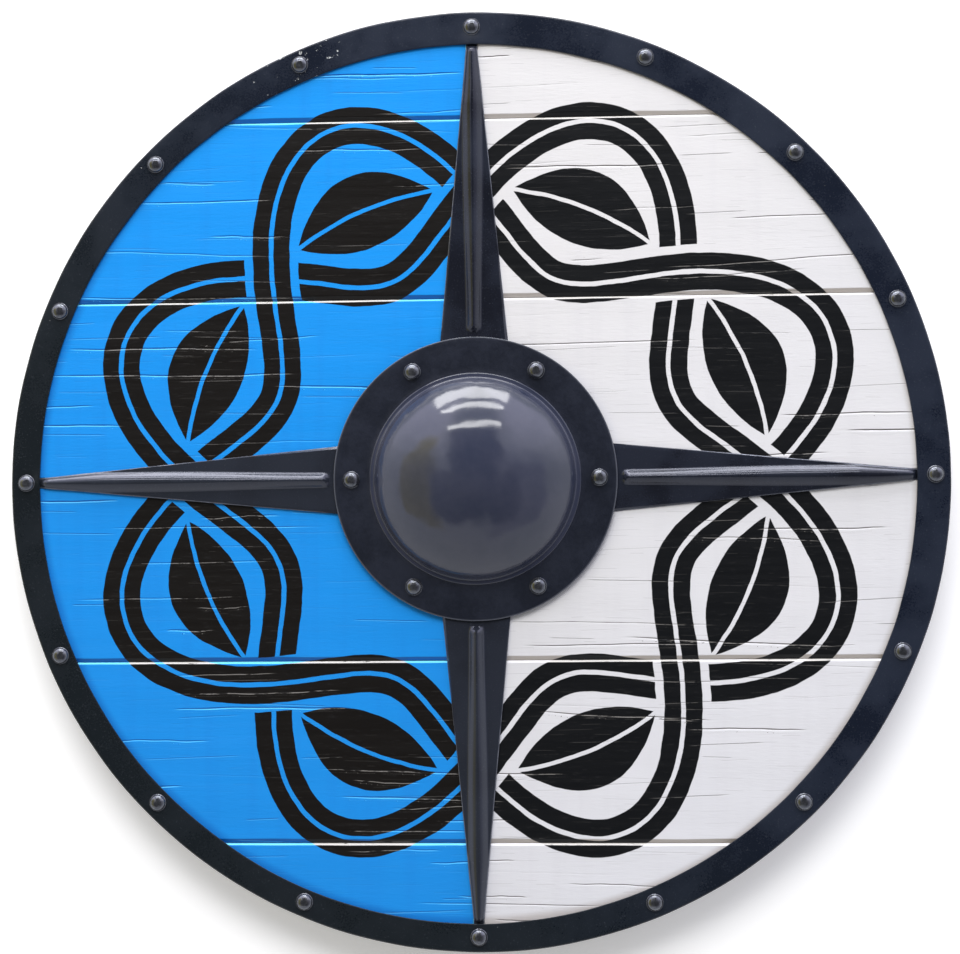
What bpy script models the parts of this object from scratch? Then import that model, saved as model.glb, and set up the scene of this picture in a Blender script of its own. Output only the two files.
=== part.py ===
"""A round wooden shield: six planks in a folded iron rim, with four ribbed iron arms,
a domed iron boss, domed rivets and a wooden grip on the back.

The shield lies on its back. The centre of its grip's back face is the origin, +Z is the way
the boss points, +Y is the top of the shield and the planks run along X. Sizes are in metres.
"""

import math

import bmesh
import bpy
from mathutils import Matrix, Vector

# Board: planks laid side by side, the two outer ones narrower than the rest
shield_diameter = 0.6096
board_thickness = 0.012
plank_count = 6
outer_plank_width = 0.0683
groove_width = 0.0026
hand_hole_diameter = 0.116

# Clearances
fit_gap = 0.0003
shank_clearance = 0.0003

# Rim: one band folded over the edge, the same width on the front and on the back
rim_width = 0.020
rim_thickness = 0.0012
rim_bend = 0.0012

# Boss
boss_diameter = 0.184
boss_thickness = 0.0015
dome_diameter = 0.1306
dome_height = 0.034
base_ring_width = 0.0034
base_ring_height = 0.0011

# Arms
arm_thickness = 0.0015
arm_root_width = 0.0435
arm_tip_width = 0.0066
arm_lap_under_boss = 0.024
tongue_length = 0.005
rib_root_width = 0.0097
rib_full_width = 0.0125
rib_height = 0.0042
rib_setback = 0.003
rib_start_length = 0.005
spike_edge = 0.0006
tip_ramp = 0.005

# Rivets
rim_rivet_count = 16
boss_rivet_count = 6
rivet_head_diameter = 0.011
rivet_head_height = 0.0036
rivet_shank_diameter = 0.004
rivet_tail_diameter = 0.0072
rivet_tail_height = 0.0014

# Grip
grip_width = 0.032
grip_depth = 0.020
grip_chamfer = 0.005
grip_tab_depth = 0.008
grip_tab_end = 0.016
grip_tab_shoulder = 0.010
grip_ramp = 0.012

# Facets
round_sides = 80
boss_sides = 40
hand_hole_sides = 32
rivet_sides = 8
dome_rings = 6
smooth_angle = math.radians(35)

# Levels, from the floor that the grip rests on
board_back = grip_depth + fit_gap
board_front = board_back + board_thickness
rim_back = board_back - fit_gap - rim_thickness
rim_front = board_front + fit_gap + rim_thickness
arm_base = board_front + fit_gap
flange_base = arm_base + arm_thickness + fit_gap
flange_front = flange_base + boss_thickness
dome_top = flange_front + dome_height

# Radii
shield_radius = shield_diameter / 2
rim_inner_radius = shield_radius - rim_width
board_radius = shield_radius - rim_thickness - fit_gap
plank_width = 2 * (board_radius - outer_plank_width) / (plank_count - 2)
boss_radius = boss_diameter / 2
dome_radius = dome_diameter / 2
base_ring_radius = dome_radius + base_ring_width
rim_rivet_circle = shield_radius - rim_width / 2
boss_rivet_circle = (base_ring_radius + boss_radius) / 2
shank_radius = rivet_shank_diameter / 2
arm_inner_radius = boss_radius - arm_lap_under_boss
tongue_radius = rim_inner_radius + tongue_length

# The tongue at an arm's tip drops by this much, into a slot in the board under the rim
tongue_drop = fit_gap + arm_thickness


def clear_scene():
    for old in list(bpy.data.objects):
        bpy.data.objects.remove(old, do_unlink=True)


def make_material(name, colour, roughness, metallic):
    made = bpy.data.materials.new(name)
    made.use_nodes = True
    shader = made.node_tree.nodes["Principled BSDF"]
    shader.inputs["Base Color"].default_value = (*colour, 1.0)
    shader.inputs["Roughness"].default_value = roughness
    shader.inputs["Metallic"].default_value = metallic
    return made


def finish_mesh(name, bm, material):
    """Turns a finished bmesh into a mesh with smooth round faces and sharp edges."""
    bmesh.ops.remove_doubles(bm, verts=bm.verts, dist=1e-6)
    bmesh.ops.recalc_face_normals(bm, faces=bm.faces)
    mesh = bpy.data.meshes.new(name)
    bm.to_mesh(mesh)
    bm.free()
    mesh.shade_smooth()
    mesh.set_sharp_from_angle(angle=smooth_angle)
    mesh.materials.append(material)
    return mesh


def place(name, mesh, shield, location=(0.0, 0.0, 0.0), turn=0.0):
    piece = bpy.data.objects.new(name, mesh)
    bpy.context.collection.objects.link(piece)
    piece.location = location
    piece.rotation_euler = (0.0, 0.0, turn)
    piece.parent = shield
    return piece


def cut(piece, cutter):
    """Takes the cutter's shape out of the piece."""
    hole = piece.modifiers.new("cut_" + cutter.name, "BOOLEAN")
    hole.operation = "DIFFERENCE"
    hole.solver = "EXACT"
    hole.object = cutter


def turned(profile, sides, closed):
    """A solid of revolution about Z from (radius, height) points."""
    bm = bmesh.new()
    points = [bm.verts.new((radius, 0.0, height)) for radius, height in profile]
    edges = [bm.edges.new(pair) for pair in zip(points, points[1:])]
    if closed:
        edges.append(bm.edges.new((points[-1], points[0])))
    bmesh.ops.spin(
        bm,
        geom=points + edges,
        cent=(0.0, 0.0, 0.0),
        axis=(0.0, 0.0, 1.0),
        angle=2 * math.pi,
        steps=sides,
        use_merge=True,
    )
    return bm


def lofted(rings):
    """A solid through closed rings of points, with a flat face at each end."""
    bm = bmesh.new()
    edges = []
    ends = []
    for ring in rings:
        points = [bm.verts.new(point) for point in ring]
        edges += [bm.edges.new(pair) for pair in zip(points, points[1:] + points[:1])]
        ends.append(points)
    bmesh.ops.bridge_loops(bm, edges=edges)
    bm.faces.new(ends[0])
    bm.faces.new(ends[-1])
    return bm


def on_circle(radius, angle):
    return Vector((radius * math.cos(angle), radius * math.sin(angle), 0.0))


# Rivet places: the rim's run clockwise from the top, the boss's anticlockwise from the right
rim_rivet_places = [
    on_circle(rim_rivet_circle, math.pi / 2 - 2 * math.pi * i / rim_rivet_count)
    for i in range(rim_rivet_count)
]
boss_rivet_places = [
    on_circle(boss_rivet_circle, 2 * math.pi * i / boss_rivet_count) for i in range(boss_rivet_count)
]
arm_turns = {"arm_right": 0.0, "arm_top": math.pi / 2, "arm_left": math.pi, "arm_bottom": 1.5 * math.pi}


def hide_cutter(cutter):
    cutter.hide_render = True
    cutter.display_type = "WIRE"
    return cutter


def add_cylinder(bm, centre, radius, low, high, sides):
    bmesh.ops.create_cone(
        bm,
        cap_ends=True,
        segments=sides,
        radius1=radius,
        radius2=radius,
        depth=high - low,
        matrix=Matrix.Translation((centre.x, centre.y, (low + high) / 2)),
    )


def make_rivet_holes(shield, steel):
    """Cutter for every rivet hole: one shaft per rivet, right through the shield."""
    bm = bmesh.new()
    hole_radius = shank_radius + shank_clearance
    for centre in rim_rivet_places + boss_rivet_places:
        add_cylinder(bm, centre, hole_radius, -grip_depth, dome_top, rivet_sides)
    return hide_cutter(place("rivet_holes", finish_mesh("rivet_holes", bm, steel), shield))


def make_board_openings(shield, steel):
    """Cutter for the hand hole and for the slots that take the arms' tongues."""
    bm = bmesh.new()
    past = board_thickness
    add_cylinder(
        bm, Vector(), hand_hole_diameter / 2, board_back - past, board_front + past, hand_hole_sides
    )
    slot_inner = rim_inner_radius - 2 * tip_ramp
    slot_outer = tongue_radius + fit_gap
    slot_floor = board_front - tongue_drop
    slot_half_width = arm_half_width(slot_inner) + fit_gap
    size = Vector((slot_outer - slot_inner, 2 * slot_half_width, 2 * tongue_drop))
    centre = Vector(((slot_inner + slot_outer) / 2, 0.0, slot_floor + tongue_drop))
    for turn in arm_turns.values():
        matrix = Matrix.Rotation(turn, 4, "Z") @ Matrix.Translation(centre) @ Matrix.Diagonal((*size, 1.0))
        bmesh.ops.create_cube(bm, size=1.0, matrix=matrix)
    return hide_cutter(place("board_openings", finish_mesh("board_openings", bm, steel), shield))


def on_seam(edge, level):
    """Whether an edge runs along a plank's side, on the front of the board."""
    along = all(abs(vert.co.y - level) < fit_gap / 2 for vert in edge.verts)
    return along and all(vert.co.z > board_front - fit_gap for vert in edge.verts)


def plank_mesh(name, low, high, paint):
    """One plank: the slice of the board's disc from low to high, chamfered along its seams."""
    bm = bmesh.new()
    bmesh.ops.create_circle(bm, cap_ends=True, segments=round_sides, radius=board_radius)
    for level, keeps_above in ((low, True), (high, False)):
        bmesh.ops.bisect_plane(
            bm,
            geom=bm.verts[:] + bm.edges[:] + bm.faces[:],
            plane_co=(0.0, level, 0.0),
            plane_no=(0.0, 1.0, 0.0),
            clear_inner=keeps_above,
            clear_outer=not keeps_above,
        )
    raised = bmesh.ops.extrude_face_region(bm, geom=bm.faces[:])["geom"]
    top = [item for item in raised if isinstance(item, bmesh.types.BMVert)]
    bmesh.ops.translate(bm, verts=bm.verts, vec=(0.0, 0.0, board_back))
    bmesh.ops.translate(bm, verts=top, vec=(0.0, 0.0, board_thickness))
    seams = [edge for edge in bm.edges if on_seam(edge, low) or on_seam(edge, high)]
    bmesh.ops.bevel(
        bm, geom=seams, offset=groove_width / 2, segments=1, profile=0.5, affect="EDGES", material=-1
    )
    return finish_mesh(name, bm, paint)


def make_planks(shield, paint, cutters):
    first_seam = board_radius - outer_plank_width
    for number in range(plank_count):
        low = first_seam - number * plank_width
        high = low + plank_width
        if number == 0:
            high = shield_radius
        if number == plank_count - 1:
            low = -shield_radius
        name = f"plank_{number + 1}"
        mesh = plank_mesh(name, low + fit_gap / 2, high - fit_gap / 2, paint)
        plank = place(name, mesh, shield)
        for cutter in cutters:
            cut(plank, cutter)


def make_rim(shield, steel, rivet_holes):
    """A band folded over the board's edge, with its two outer corners rounded off."""
    outside = [
        (rim_inner_radius, rim_front),
        (shield_radius - rim_bend, rim_front),
        (shield_radius, rim_front - rim_bend),
        (shield_radius, rim_back + rim_bend),
        (shield_radius - rim_bend, rim_back),
        (rim_inner_radius, rim_back),
    ]
    wall = shield_radius - rim_thickness
    inside = [
        (rim_inner_radius, rim_back + rim_thickness),
        (wall, rim_back + rim_thickness),
        (wall, rim_front - rim_thickness),
        (rim_inner_radius, rim_front - rim_thickness),
    ]
    rim = place("rim", finish_mesh("rim", turned(outside + inside, round_sides, True), steel), shield)
    cut(rim, rivet_holes)


def dome_arc(radius, centre_height, widest):
    """Points down a round cap, from its top to where it is widest."""
    spread = math.asin(widest / radius)
    return [
        (radius * math.sin(spread * i / dome_rings), centre_height + radius * math.cos(spread * i / dome_rings))
        for i in range(dome_rings + 1)
    ]


def make_boss(shield, steel, rivet_holes):
    """A raised cap on a low ring and a flat flange, pressed from one sheet and open below."""
    cap_height = dome_height - base_ring_height
    cap_radius = (dome_radius**2 + cap_height**2) / (2 * cap_height)
    cap_centre = dome_top - cap_radius
    inner_cap_radius = cap_radius - boss_thickness
    mouth_radius = math.sqrt(inner_cap_radius**2 - (flange_base - cap_centre) ** 2)
    outside = dome_arc(cap_radius, cap_centre, dome_radius) + [
        (base_ring_radius - base_ring_height / 2, flange_front + base_ring_height),
        (base_ring_radius, flange_front),
        (boss_radius, flange_front),
        (boss_radius, flange_base),
    ]
    inside = dome_arc(inner_cap_radius, cap_centre, mouth_radius)
    profile = outside + inside[::-1]
    boss = place("boss", finish_mesh("boss", turned(profile, boss_sides, False), steel), shield)
    cut(boss, rivet_holes)


def arm_half_width(radius):
    """Half of an arm's width, which tapers evenly from the boss to the rim."""
    share = (radius - boss_radius) / (rim_inner_radius - boss_radius)
    return (arm_root_width + (arm_tip_width - arm_root_width) * share) / 2


def arm_ring(radius, rib_half_width, height, drop):
    """One cross-section of an arm: a sheet with a half-round rib pressed up in its middle."""
    half_width = arm_half_width(radius)
    rib_half_width = min(rib_half_width, half_width - spike_edge)
    base = arm_base - drop
    rib_shape = ((1.0, 0.0), (0.82, 0.55), (0.45, 0.90), (0.0, 1.0), (-0.45, 0.90), (-0.82, 0.55), (-1.0, 0.0))
    channel_half_width = rib_half_width - arm_thickness / 2
    front = [(half_width, 0.0)] + [(rib_half_width * y, height * z) for y, z in rib_shape]
    front.append((-half_width, 0.0))
    back = [(half_width, 0.0)] + [(channel_half_width * y, height * z) for y, z in rib_shape]
    back.append((-half_width, 0.0))
    points = [Vector((radius, y, base + arm_thickness + z)) for y, z in front]
    points += [Vector((radius, y, base + z)) for y, z in reversed(back)]
    return points


def arm_mesh(steel):
    """An arm along +X: flat under the boss, ribbed outside it, a spike near the rim, a flat tongue."""
    rib_start = boss_radius + rib_setback
    taper = (arm_root_width - arm_tip_width) / (rim_inner_radius - boss_radius)
    spike_start = boss_radius + (arm_root_width - rib_full_width - 2 * spike_edge) / taper
    spike_end = rim_inner_radius - 2 * tip_ramp
    tip_height = rib_height * arm_half_width(spike_end) / arm_half_width(spike_start)
    root = rib_root_width / 2
    full = rib_full_width / 2
    rings = [
        arm_ring(arm_inner_radius, root, 0.0, 0.0),
        arm_ring(rib_start, root, 0.0, 0.0),
        arm_ring(rib_start + rib_start_length, root, rib_height, 0.0),
        arm_ring(spike_start, full, rib_height, 0.0),
        arm_ring(spike_end, full, tip_height, 0.0),
        arm_ring(rim_inner_radius - tip_ramp, full, tip_height / 2, tongue_drop / 2),
        arm_ring(rim_inner_radius - fit_gap, full, 0.0, tongue_drop),
        arm_ring(tongue_radius, full, 0.0, tongue_drop),
    ]
    return finish_mesh("arm", lofted(rings), steel)


def make_arms(shield, steel, rivet_holes):
    mesh = arm_mesh(steel)
    for name, turn in arm_turns.items():
        arm = place(name, mesh, shield, turn=turn)
        cut(arm, rivet_holes)


def rivet_mesh(name, grip_length, steel):
    """A rivet: a round head, a shank as long as what it holds, and a small hammered tail."""
    head_radius = rivet_head_diameter / 2
    tail_radius = rivet_tail_diameter / 2
    tail = -grip_length
    lean = math.radians(50)
    profile = [
        (0.0, rivet_head_height),
        (head_radius * math.sin(lean), rivet_head_height * math.cos(lean)),
        (head_radius, 0.0),
        (shank_radius, 0.0),
        (shank_radius, tail),
        (tail_radius, tail),
        (tail_radius * math.sin(lean), tail - rivet_tail_height),
        (0.0, tail - rivet_tail_height),
    ]
    return finish_mesh(name, turned(profile, rivet_sides, False), steel)


def make_rim_rivets(shield, steel):
    head_level = rim_front + fit_gap
    tail_level = rim_back - fit_gap
    mesh = rivet_mesh("rim_rivet", head_level - tail_level, steel)
    for i, centre in enumerate(rim_rivet_places):
        place(f"rim_rivet_{i + 1:02d}", mesh, shield, centre + Vector((0.0, 0.0, head_level)))


def make_boss_rivets(shield, steel):
    """The rivets over the grip go through its tabs, and the rest end on the board's back."""
    head_level = flange_front + fit_gap
    board_rivet = rivet_mesh("boss_rivet", head_level - (board_back - fit_gap), steel)
    tab_back = grip_depth - grip_tab_depth
    grip_rivet = rivet_mesh("grip_rivet", head_level - (tab_back - fit_gap), steel)
    for i, centre in enumerate(boss_rivet_places):
        mesh = grip_rivet if abs(centre.y) < grip_width / 2 else board_rivet
        place(f"boss_rivet_{i + 1}", mesh, shield, centre + Vector((0.0, 0.0, head_level)))


def grip_ring(x, depth):
    """One cross-section of the grip: flat against the board, its back edges chamfered."""
    half = grip_width / 2
    chamfer = min(grip_chamfer, depth / 2)
    back = grip_depth - depth
    return [
        Vector((x, -half, grip_depth)),
        Vector((x, -half, back + chamfer)),
        Vector((x, chamfer - half, back)),
        Vector((x, half - chamfer, back)),
        Vector((x, half, back + chamfer)),
        Vector((x, half, grip_depth)),
    ]


def make_grip(shield, wood, rivet_holes):
    """A bar across the hand hole, with a thinner riveted tab at each end."""
    end = boss_rivet_circle + grip_tab_end
    tab = boss_rivet_circle - grip_tab_shoulder
    handle = tab - grip_ramp
    depths = ((-end, grip_tab_depth), (-tab, grip_tab_depth), (-handle, grip_depth))
    depths += tuple((-x, depth) for x, depth in reversed(depths))
    bm = lofted([grip_ring(x, depth) for x, depth in depths])
    grip = place("grip", finish_mesh("grip", bm, wood), shield)
    cut(grip, rivet_holes)


def main():
    clear_scene()
    paint = make_material("painted_wood", (0.80, 0.81, 0.84), 0.45, 0.0)
    wood = make_material("bare_wood", (0.36, 0.22, 0.12), 0.6, 0.0)
    rim_steel = make_material("rim_steel", (0.030, 0.034, 0.045), 0.42, 1.0)
    arm_steel = make_material("arm_steel", (0.022, 0.024, 0.034), 0.35, 1.0)
    boss_steel = make_material("boss_steel", (0.050, 0.055, 0.075), 0.22, 1.0)
    rivet_steel = make_material("rivet_steel", (0.045, 0.048, 0.060), 0.2, 1.0)
    shield = bpy.data.objects.new("shield", None)
    bpy.context.collection.objects.link(shield)
    rivet_holes = make_rivet_holes(shield, rivet_steel)
    board_openings = make_board_openings(shield, rim_steel)
    make_planks(shield, paint, (board_openings, rivet_holes))
    make_rim(shield, rim_steel, rivet_holes)
    make_boss(shield, boss_steel, rivet_holes)
    make_arms(shield, arm_steel, rivet_holes)
    make_rim_rivets(shield, rivet_steel)
    make_boss_rivets(shield, rivet_steel)
    make_grip(shield, wood, rivet_holes)


main()
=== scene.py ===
"""The looks of a round wooden shield: cracked and painted planks, painted iron fittings and a
glossy boss, laid on a pale floor in soft light. Sizes are in metres, in the frame of the solids:
+Z is the way the boss points, +Y is the top of the shield and the planks run along X.
"""

import math
import random

import bmesh
import bpy
import numpy as np
from mathutils import Matrix, Vector, noise


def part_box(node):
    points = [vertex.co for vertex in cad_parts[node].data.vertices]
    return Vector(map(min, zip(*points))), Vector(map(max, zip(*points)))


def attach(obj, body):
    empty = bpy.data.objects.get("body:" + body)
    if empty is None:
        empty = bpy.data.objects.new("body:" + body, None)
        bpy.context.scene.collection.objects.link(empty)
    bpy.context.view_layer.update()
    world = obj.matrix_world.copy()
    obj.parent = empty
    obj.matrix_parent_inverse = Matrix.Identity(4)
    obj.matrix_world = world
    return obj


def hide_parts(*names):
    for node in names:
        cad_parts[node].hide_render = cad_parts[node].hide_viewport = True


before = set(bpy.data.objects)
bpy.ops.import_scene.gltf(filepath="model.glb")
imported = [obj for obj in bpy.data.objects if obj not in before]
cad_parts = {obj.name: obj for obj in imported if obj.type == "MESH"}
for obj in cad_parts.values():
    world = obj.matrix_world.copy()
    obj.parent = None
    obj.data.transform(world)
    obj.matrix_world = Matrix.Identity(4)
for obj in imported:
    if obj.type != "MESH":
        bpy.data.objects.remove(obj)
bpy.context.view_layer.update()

# Sizes read from the solids
rim_low, rim_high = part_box("rim")
shield_radius = rim_high.x
rim_back = rim_low.z
rim_front = rim_high.z
board_low, board_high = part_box("plank_3")
board_back = board_low.z
board_front = board_high.z
plank_width = board_low.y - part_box("plank_4")[0].y
boss_low, boss_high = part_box("boss")
boss_radius = boss_high.x
flange_base = boss_low.z
dome_top = boss_high.z
arm_low, arm_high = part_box("arm_right")
arm_inner_radius = arm_low.x
tongue_radius = arm_high.x
grip_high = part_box("grip")[1]

fit_gap = 0.0003

# Board
board_radius = 0.3033
board_cut = 0.3025
groove_upper_wall = 0.0026
groove_lower_wall = 0.0014
groove_depth = 0.0015
back_bevel = 0.0008
painted_depth = 0.0021
hand_hole_radius = 0.058
hand_hole_sides = 96
tongue_slot_depth = 0.0018
row_spacing = 0.00036
plank_columns = 130
crack_reach = 0.0006
crack_sight = 0.002
crack_end_room = 0.010
deepest_crack = 0.0005
seam_sight = 0.006

# Rim: a folded band, a little wider at the right and the top than at the left and the bottom
rim_width = 0.020
rim_width_swing = 0.0019
rim_widest_way = math.radians(45)
rim_thickness = 0.0012
rim_bend = 0.0015
rim_edge = 0.0004
lip_lift = 0.0011
rim_steps = 480

# Boss, with the angles in degrees at which its cap and its shoulder end
boss_thickness = 0.0015
dome_radius = 0.0653
base_ring_width = 0.0034
base_ring_height = 0.0011
flange_front = flange_base + boss_thickness
cap_end = 45
shoulder_end = 10
boss_steps = 192

# Arms
arm_thickness = 0.0015
arm_base = flange_base - arm_thickness - fit_gap
arm_root_width = 0.0435
arm_tip_width = 0.0066
rib_root_width = 0.0097
rib_full_width = 0.0130
rib_height = 0.0042
rib_full_at = 0.21
rib_start = boss_radius + 0.0028
rib_start_length = 0.0042
arm_taper_end = 0.2848
ramp_length = 0.0034
slot_length_before_lip = 0.0032
tongue_drop = arm_thickness + fit_gap
arm_steps = 130
arm_steps_around = 88

# Rivets
shank_radius = 0.0020
hole_radius = 0.0023
head_radius = 0.0055
head_height = 0.0036
tail_radius = 0.0036
tail_height = 0.0014
rivet_steps = 40
rivet_hole_sides = 16

# Grip
grip_end = grip_high.x
grip_half_width = grip_high.y
grip_depth = grip_high.z
tab_depth = 0.008
tab_reach = 0.0704
handle_reach = 0.0584
grip_steps = 96
grip_steps_around = 40

# Camera, worked out from the places of the rivets in the photograph of 960 by 954 pixels
camera_distance = 1.3
camera_lens = 75.3
camera_tilt = math.radians(-1.84)
camera_swing = math.radians(-3.31)
camera_roll = math.radians(0.49)
camera_aside = Vector((-0.0031, -0.0011, 0.0))

floor_reach = 20.0
floor_glow = 0.20
weld = 1e-6
millimetre = 0.001


# Small tools for meshes

def smoothstep(low, high, value):
    """0 below low, 1 above high, and an easy rise between them."""
    share = min(max((value - low) / (high - low), 0.0), 1.0)
    return share * share * (3 - 2 * share)


def on_circle(radius, angle, height=0.0):
    return Vector((radius * math.cos(angle), radius * math.sin(angle), height))


def arc(centre, radius, start, end, steps):
    """Points on an arc, as (radius, height) pairs, from one angle to another in degrees."""
    angles = [math.radians(start + (end - start) * i / steps) for i in range(steps + 1)]
    return [(centre[0] + radius * math.cos(a), centre[1] + radius * math.sin(a)) for a in angles]


def turned(profile, steps):
    """A closed solid of revolution about Z from a closed line of (radius, height) points."""
    bm = bmesh.new()
    points = [bm.verts.new((radius, 0.0, height)) for radius, height in profile]
    edges = [bm.edges.new(pair) for pair in zip(points, points[1:])]
    if profile[0][0] > 0:
        edges.append(bm.edges.new((points[-1], points[0])))
    bmesh.ops.spin(
        bm,
        geom=points + edges,
        cent=(0.0, 0.0, 0.0),
        axis=(0.0, 0.0, 1.0),
        angle=2 * math.pi,
        steps=steps,
        use_merge=True,
    )
    bmesh.ops.remove_doubles(bm, verts=bm.verts, dist=weld)
    bmesh.ops.recalc_face_normals(bm, faces=bm.faces)
    return bm


def wrapped(along, around, shape):
    """A closed bar from a grid: shape(share along, share around) places each point of its skin."""
    bm = bmesh.new()
    bmesh.ops.create_grid(bm, x_segments=along, y_segments=around, size=0.5)
    for vert in bm.verts:
        vert.co = shape(vert.co.x + 0.5, vert.co.y + 0.5)
    bmesh.ops.remove_doubles(bm, verts=bm.verts, dist=weld)
    ends = [edge for edge in bm.edges if edge.is_boundary]
    bmesh.ops.holes_fill(bm, edges=ends, sides=0)
    bmesh.ops.recalc_face_normals(bm, faces=bm.faces)
    return bm


def mesh_object(name, bm, material, smooth_angle):
    """An object from a finished bmesh, shaded smooth up to an angle in degrees."""
    mesh = bpy.data.meshes.new(name)
    bm.to_mesh(mesh)
    bm.free()
    mesh.shade_smooth()
    mesh.set_sharp_from_angle(angle=math.radians(smooth_angle))
    mesh.materials.append(material)
    made = bpy.data.objects.new(name, mesh)
    bpy.context.collection.objects.link(made)
    return made


def piece(name, bm, material, nodes, smooth_angle=40, cutters=()):
    """A piece of the shield that stands for these solids."""
    made = mesh_object(name, bm, material, smooth_angle)
    for cutter in cutters:
        hole = made.modifiers.new(cutter.name, "BOOLEAN")
        hole.operation = "DIFFERENCE"
        hole.solver = "EXACT"
        hole.object = cutter
    if cutters:
        dressed = made.evaluated_get(bpy.context.evaluated_depsgraph_get())
        uncut = made.data
        made.data = bpy.data.meshes.new_from_object(dressed)
        made.modifiers.clear()
        bpy.data.meshes.remove(uncut)
        made.data.name = name
        made.data.set_sharp_from_angle(angle=math.radians(smooth_angle))
    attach(made, "root")
    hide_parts(*nodes)
    return made


# Node tools: a value that varies over a surface, with arithmetic that adds Math nodes

class Field:
    def __init__(self, tree, socket):
        self.tree = tree
        self.socket = socket

    def math(self, operation, *others):
        node = self.tree.nodes.new("ShaderNodeMath")
        node.operation = operation
        for value, socket in zip((self, *others), node.inputs):
            plug(self.tree, value, socket)
        return Field(self.tree, node.outputs[0])

    def __add__(self, other):
        return self.math("ADD", other)

    def __sub__(self, other):
        return self.math("SUBTRACT", other)

    def __mul__(self, other):
        return self.math("MULTIPLY", other)

    def __truediv__(self, other):
        return self.math("DIVIDE", other)

    def size(self):
        return self.math("ABSOLUTE")

    def either(self, other):
        return self.math("MAXIMUM", other)

    def both(self, other):
        return self.math("MINIMUM", other)

    def without(self, other):
        """This mask where the other one isn't."""
        return self.both(other.rise(1.0, 0.0))

    def rise(self, start, end, low=0.0, high=1.0):
        """An easy change from low to high as this value goes from start to end."""
        node = self.tree.nodes.new("ShaderNodeMapRange")
        node.interpolation_type = "SMOOTHSTEP"
        flipped = start > end
        settings = (end, start, high, low) if flipped else (start, end, low, high)
        plug(self.tree, self, node.inputs["Value"])
        for name, value in zip(("From Min", "From Max", "To Min", "To Max"), settings):
            node.inputs[name].default_value = value
        return Field(self.tree, node.outputs["Result"])

    def inside(self, edge, softness=0.00025):
        """1 where this distance is under the edge."""
        return self.rise(edge + softness, edge - softness)


def plug(tree, value, socket):
    if isinstance(value, Field):
        tree.links.new(value.socket, socket)
    else:
        socket.default_value = value


class Finish:
    """A material in the making: its shader, and short ways to lay colour, gloss and relief."""

    def __init__(self, name, **settings):
        self.material = bpy.data.materials.new(name)
        self.material.use_nodes = True
        self.tree = self.material.node_tree
        self.shader = self.tree.nodes["Principled BSDF"]
        for socket, value in settings.items():
            self.shader.inputs[socket.replace("_", " ")].default_value = value
        coordinates = self.tree.nodes.new("ShaderNodeTexCoord")
        self.place = Field(self.tree, coordinates.outputs["Object"])
        self.x, self.y, self.z = self.parts(self.place)

    def parts(self, vector):
        node = self.tree.nodes.new("ShaderNodeSeparateXYZ")
        plug(self.tree, vector, node.inputs[0])
        return [Field(self.tree, output) for output in node.outputs]

    def stretched(self, stretch, shift=(0.0, 0.0, 0.0)):
        node = self.tree.nodes.new("ShaderNodeMapping")
        plug(self.tree, self.place, node.inputs["Vector"])
        node.inputs["Location"].default_value = shift
        node.inputs["Scale"].default_value = stretch
        return Field(self.tree, node.outputs[0])

    def mottle(self, grain, stretch=(1.0, 1.0, 1.0), detail=3.0, roughness=0.5, shift=(0.0, 0.0, 0.0)):
        """Noise from about 0.2 to 0.8 whose spots are about this wide, in metres."""
        node = self.tree.nodes.new("ShaderNodeTexNoise")
        plug(self.tree, self.stretched(stretch, shift), node.inputs["Vector"])
        node.inputs["Scale"].default_value = 1 / grain
        node.inputs["Detail"].default_value = detail
        node.inputs["Roughness"].default_value = roughness
        return Field(self.tree, node.outputs[0])

    def chance(self, column, row, seed):
        """Three even random numbers, each the same all over a cell."""
        join = self.tree.nodes.new("ShaderNodeCombineXYZ")
        for value, socket in zip((column, row, seed), join.inputs):
            plug(self.tree, value, socket)
        node = self.tree.nodes.new("ShaderNodeTexWhiteNoise")
        plug(self.tree, Field(self.tree, join.outputs[0]), node.inputs["Vector"])
        return self.parts(Field(self.tree, node.outputs["Color"]))

    def attribute(self, name):
        node = self.tree.nodes.new("ShaderNodeAttribute")
        node.attribute_name = name
        return Field(self.tree, node.outputs["Fac"])

    def blend(self, share, first, second):
        """A colour that goes from the first to the second."""
        node = self.tree.nodes.new("ShaderNodeMix")
        node.data_type = "RGBA"
        plug(self.tree, share, node.inputs[0])
        for value, socket in ((first, node.inputs[6]), (second, node.inputs[7])):
            plug(self.tree, value if isinstance(value, Field) else (*value, 1.0), socket)
        return Field(self.tree, node.outputs[2])

    def colour(self, value):
        plug(self.tree, value, self.shader.inputs["Base Color"])

    def gloss(self, roughness):
        plug(self.tree, roughness, self.shader.inputs["Roughness"])

    def metal(self, share):
        plug(self.tree, share, self.shader.inputs["Metallic"])

    def relief(self, height, depth, below=None):
        """Fine relief, whose whole height is this depth in metres."""
        node = self.tree.nodes.new("ShaderNodeBump")
        node.inputs["Strength"].default_value = 1.0
        node.inputs["Distance"].default_value = depth
        plug(self.tree, height, node.inputs["Height"])
        if below:
            plug(self.tree, below, node.inputs["Normal"])
        made = Field(self.tree, node.outputs[0])
        plug(self.tree, made, self.shader.inputs["Normal"])
        return made


# Finishes

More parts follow.
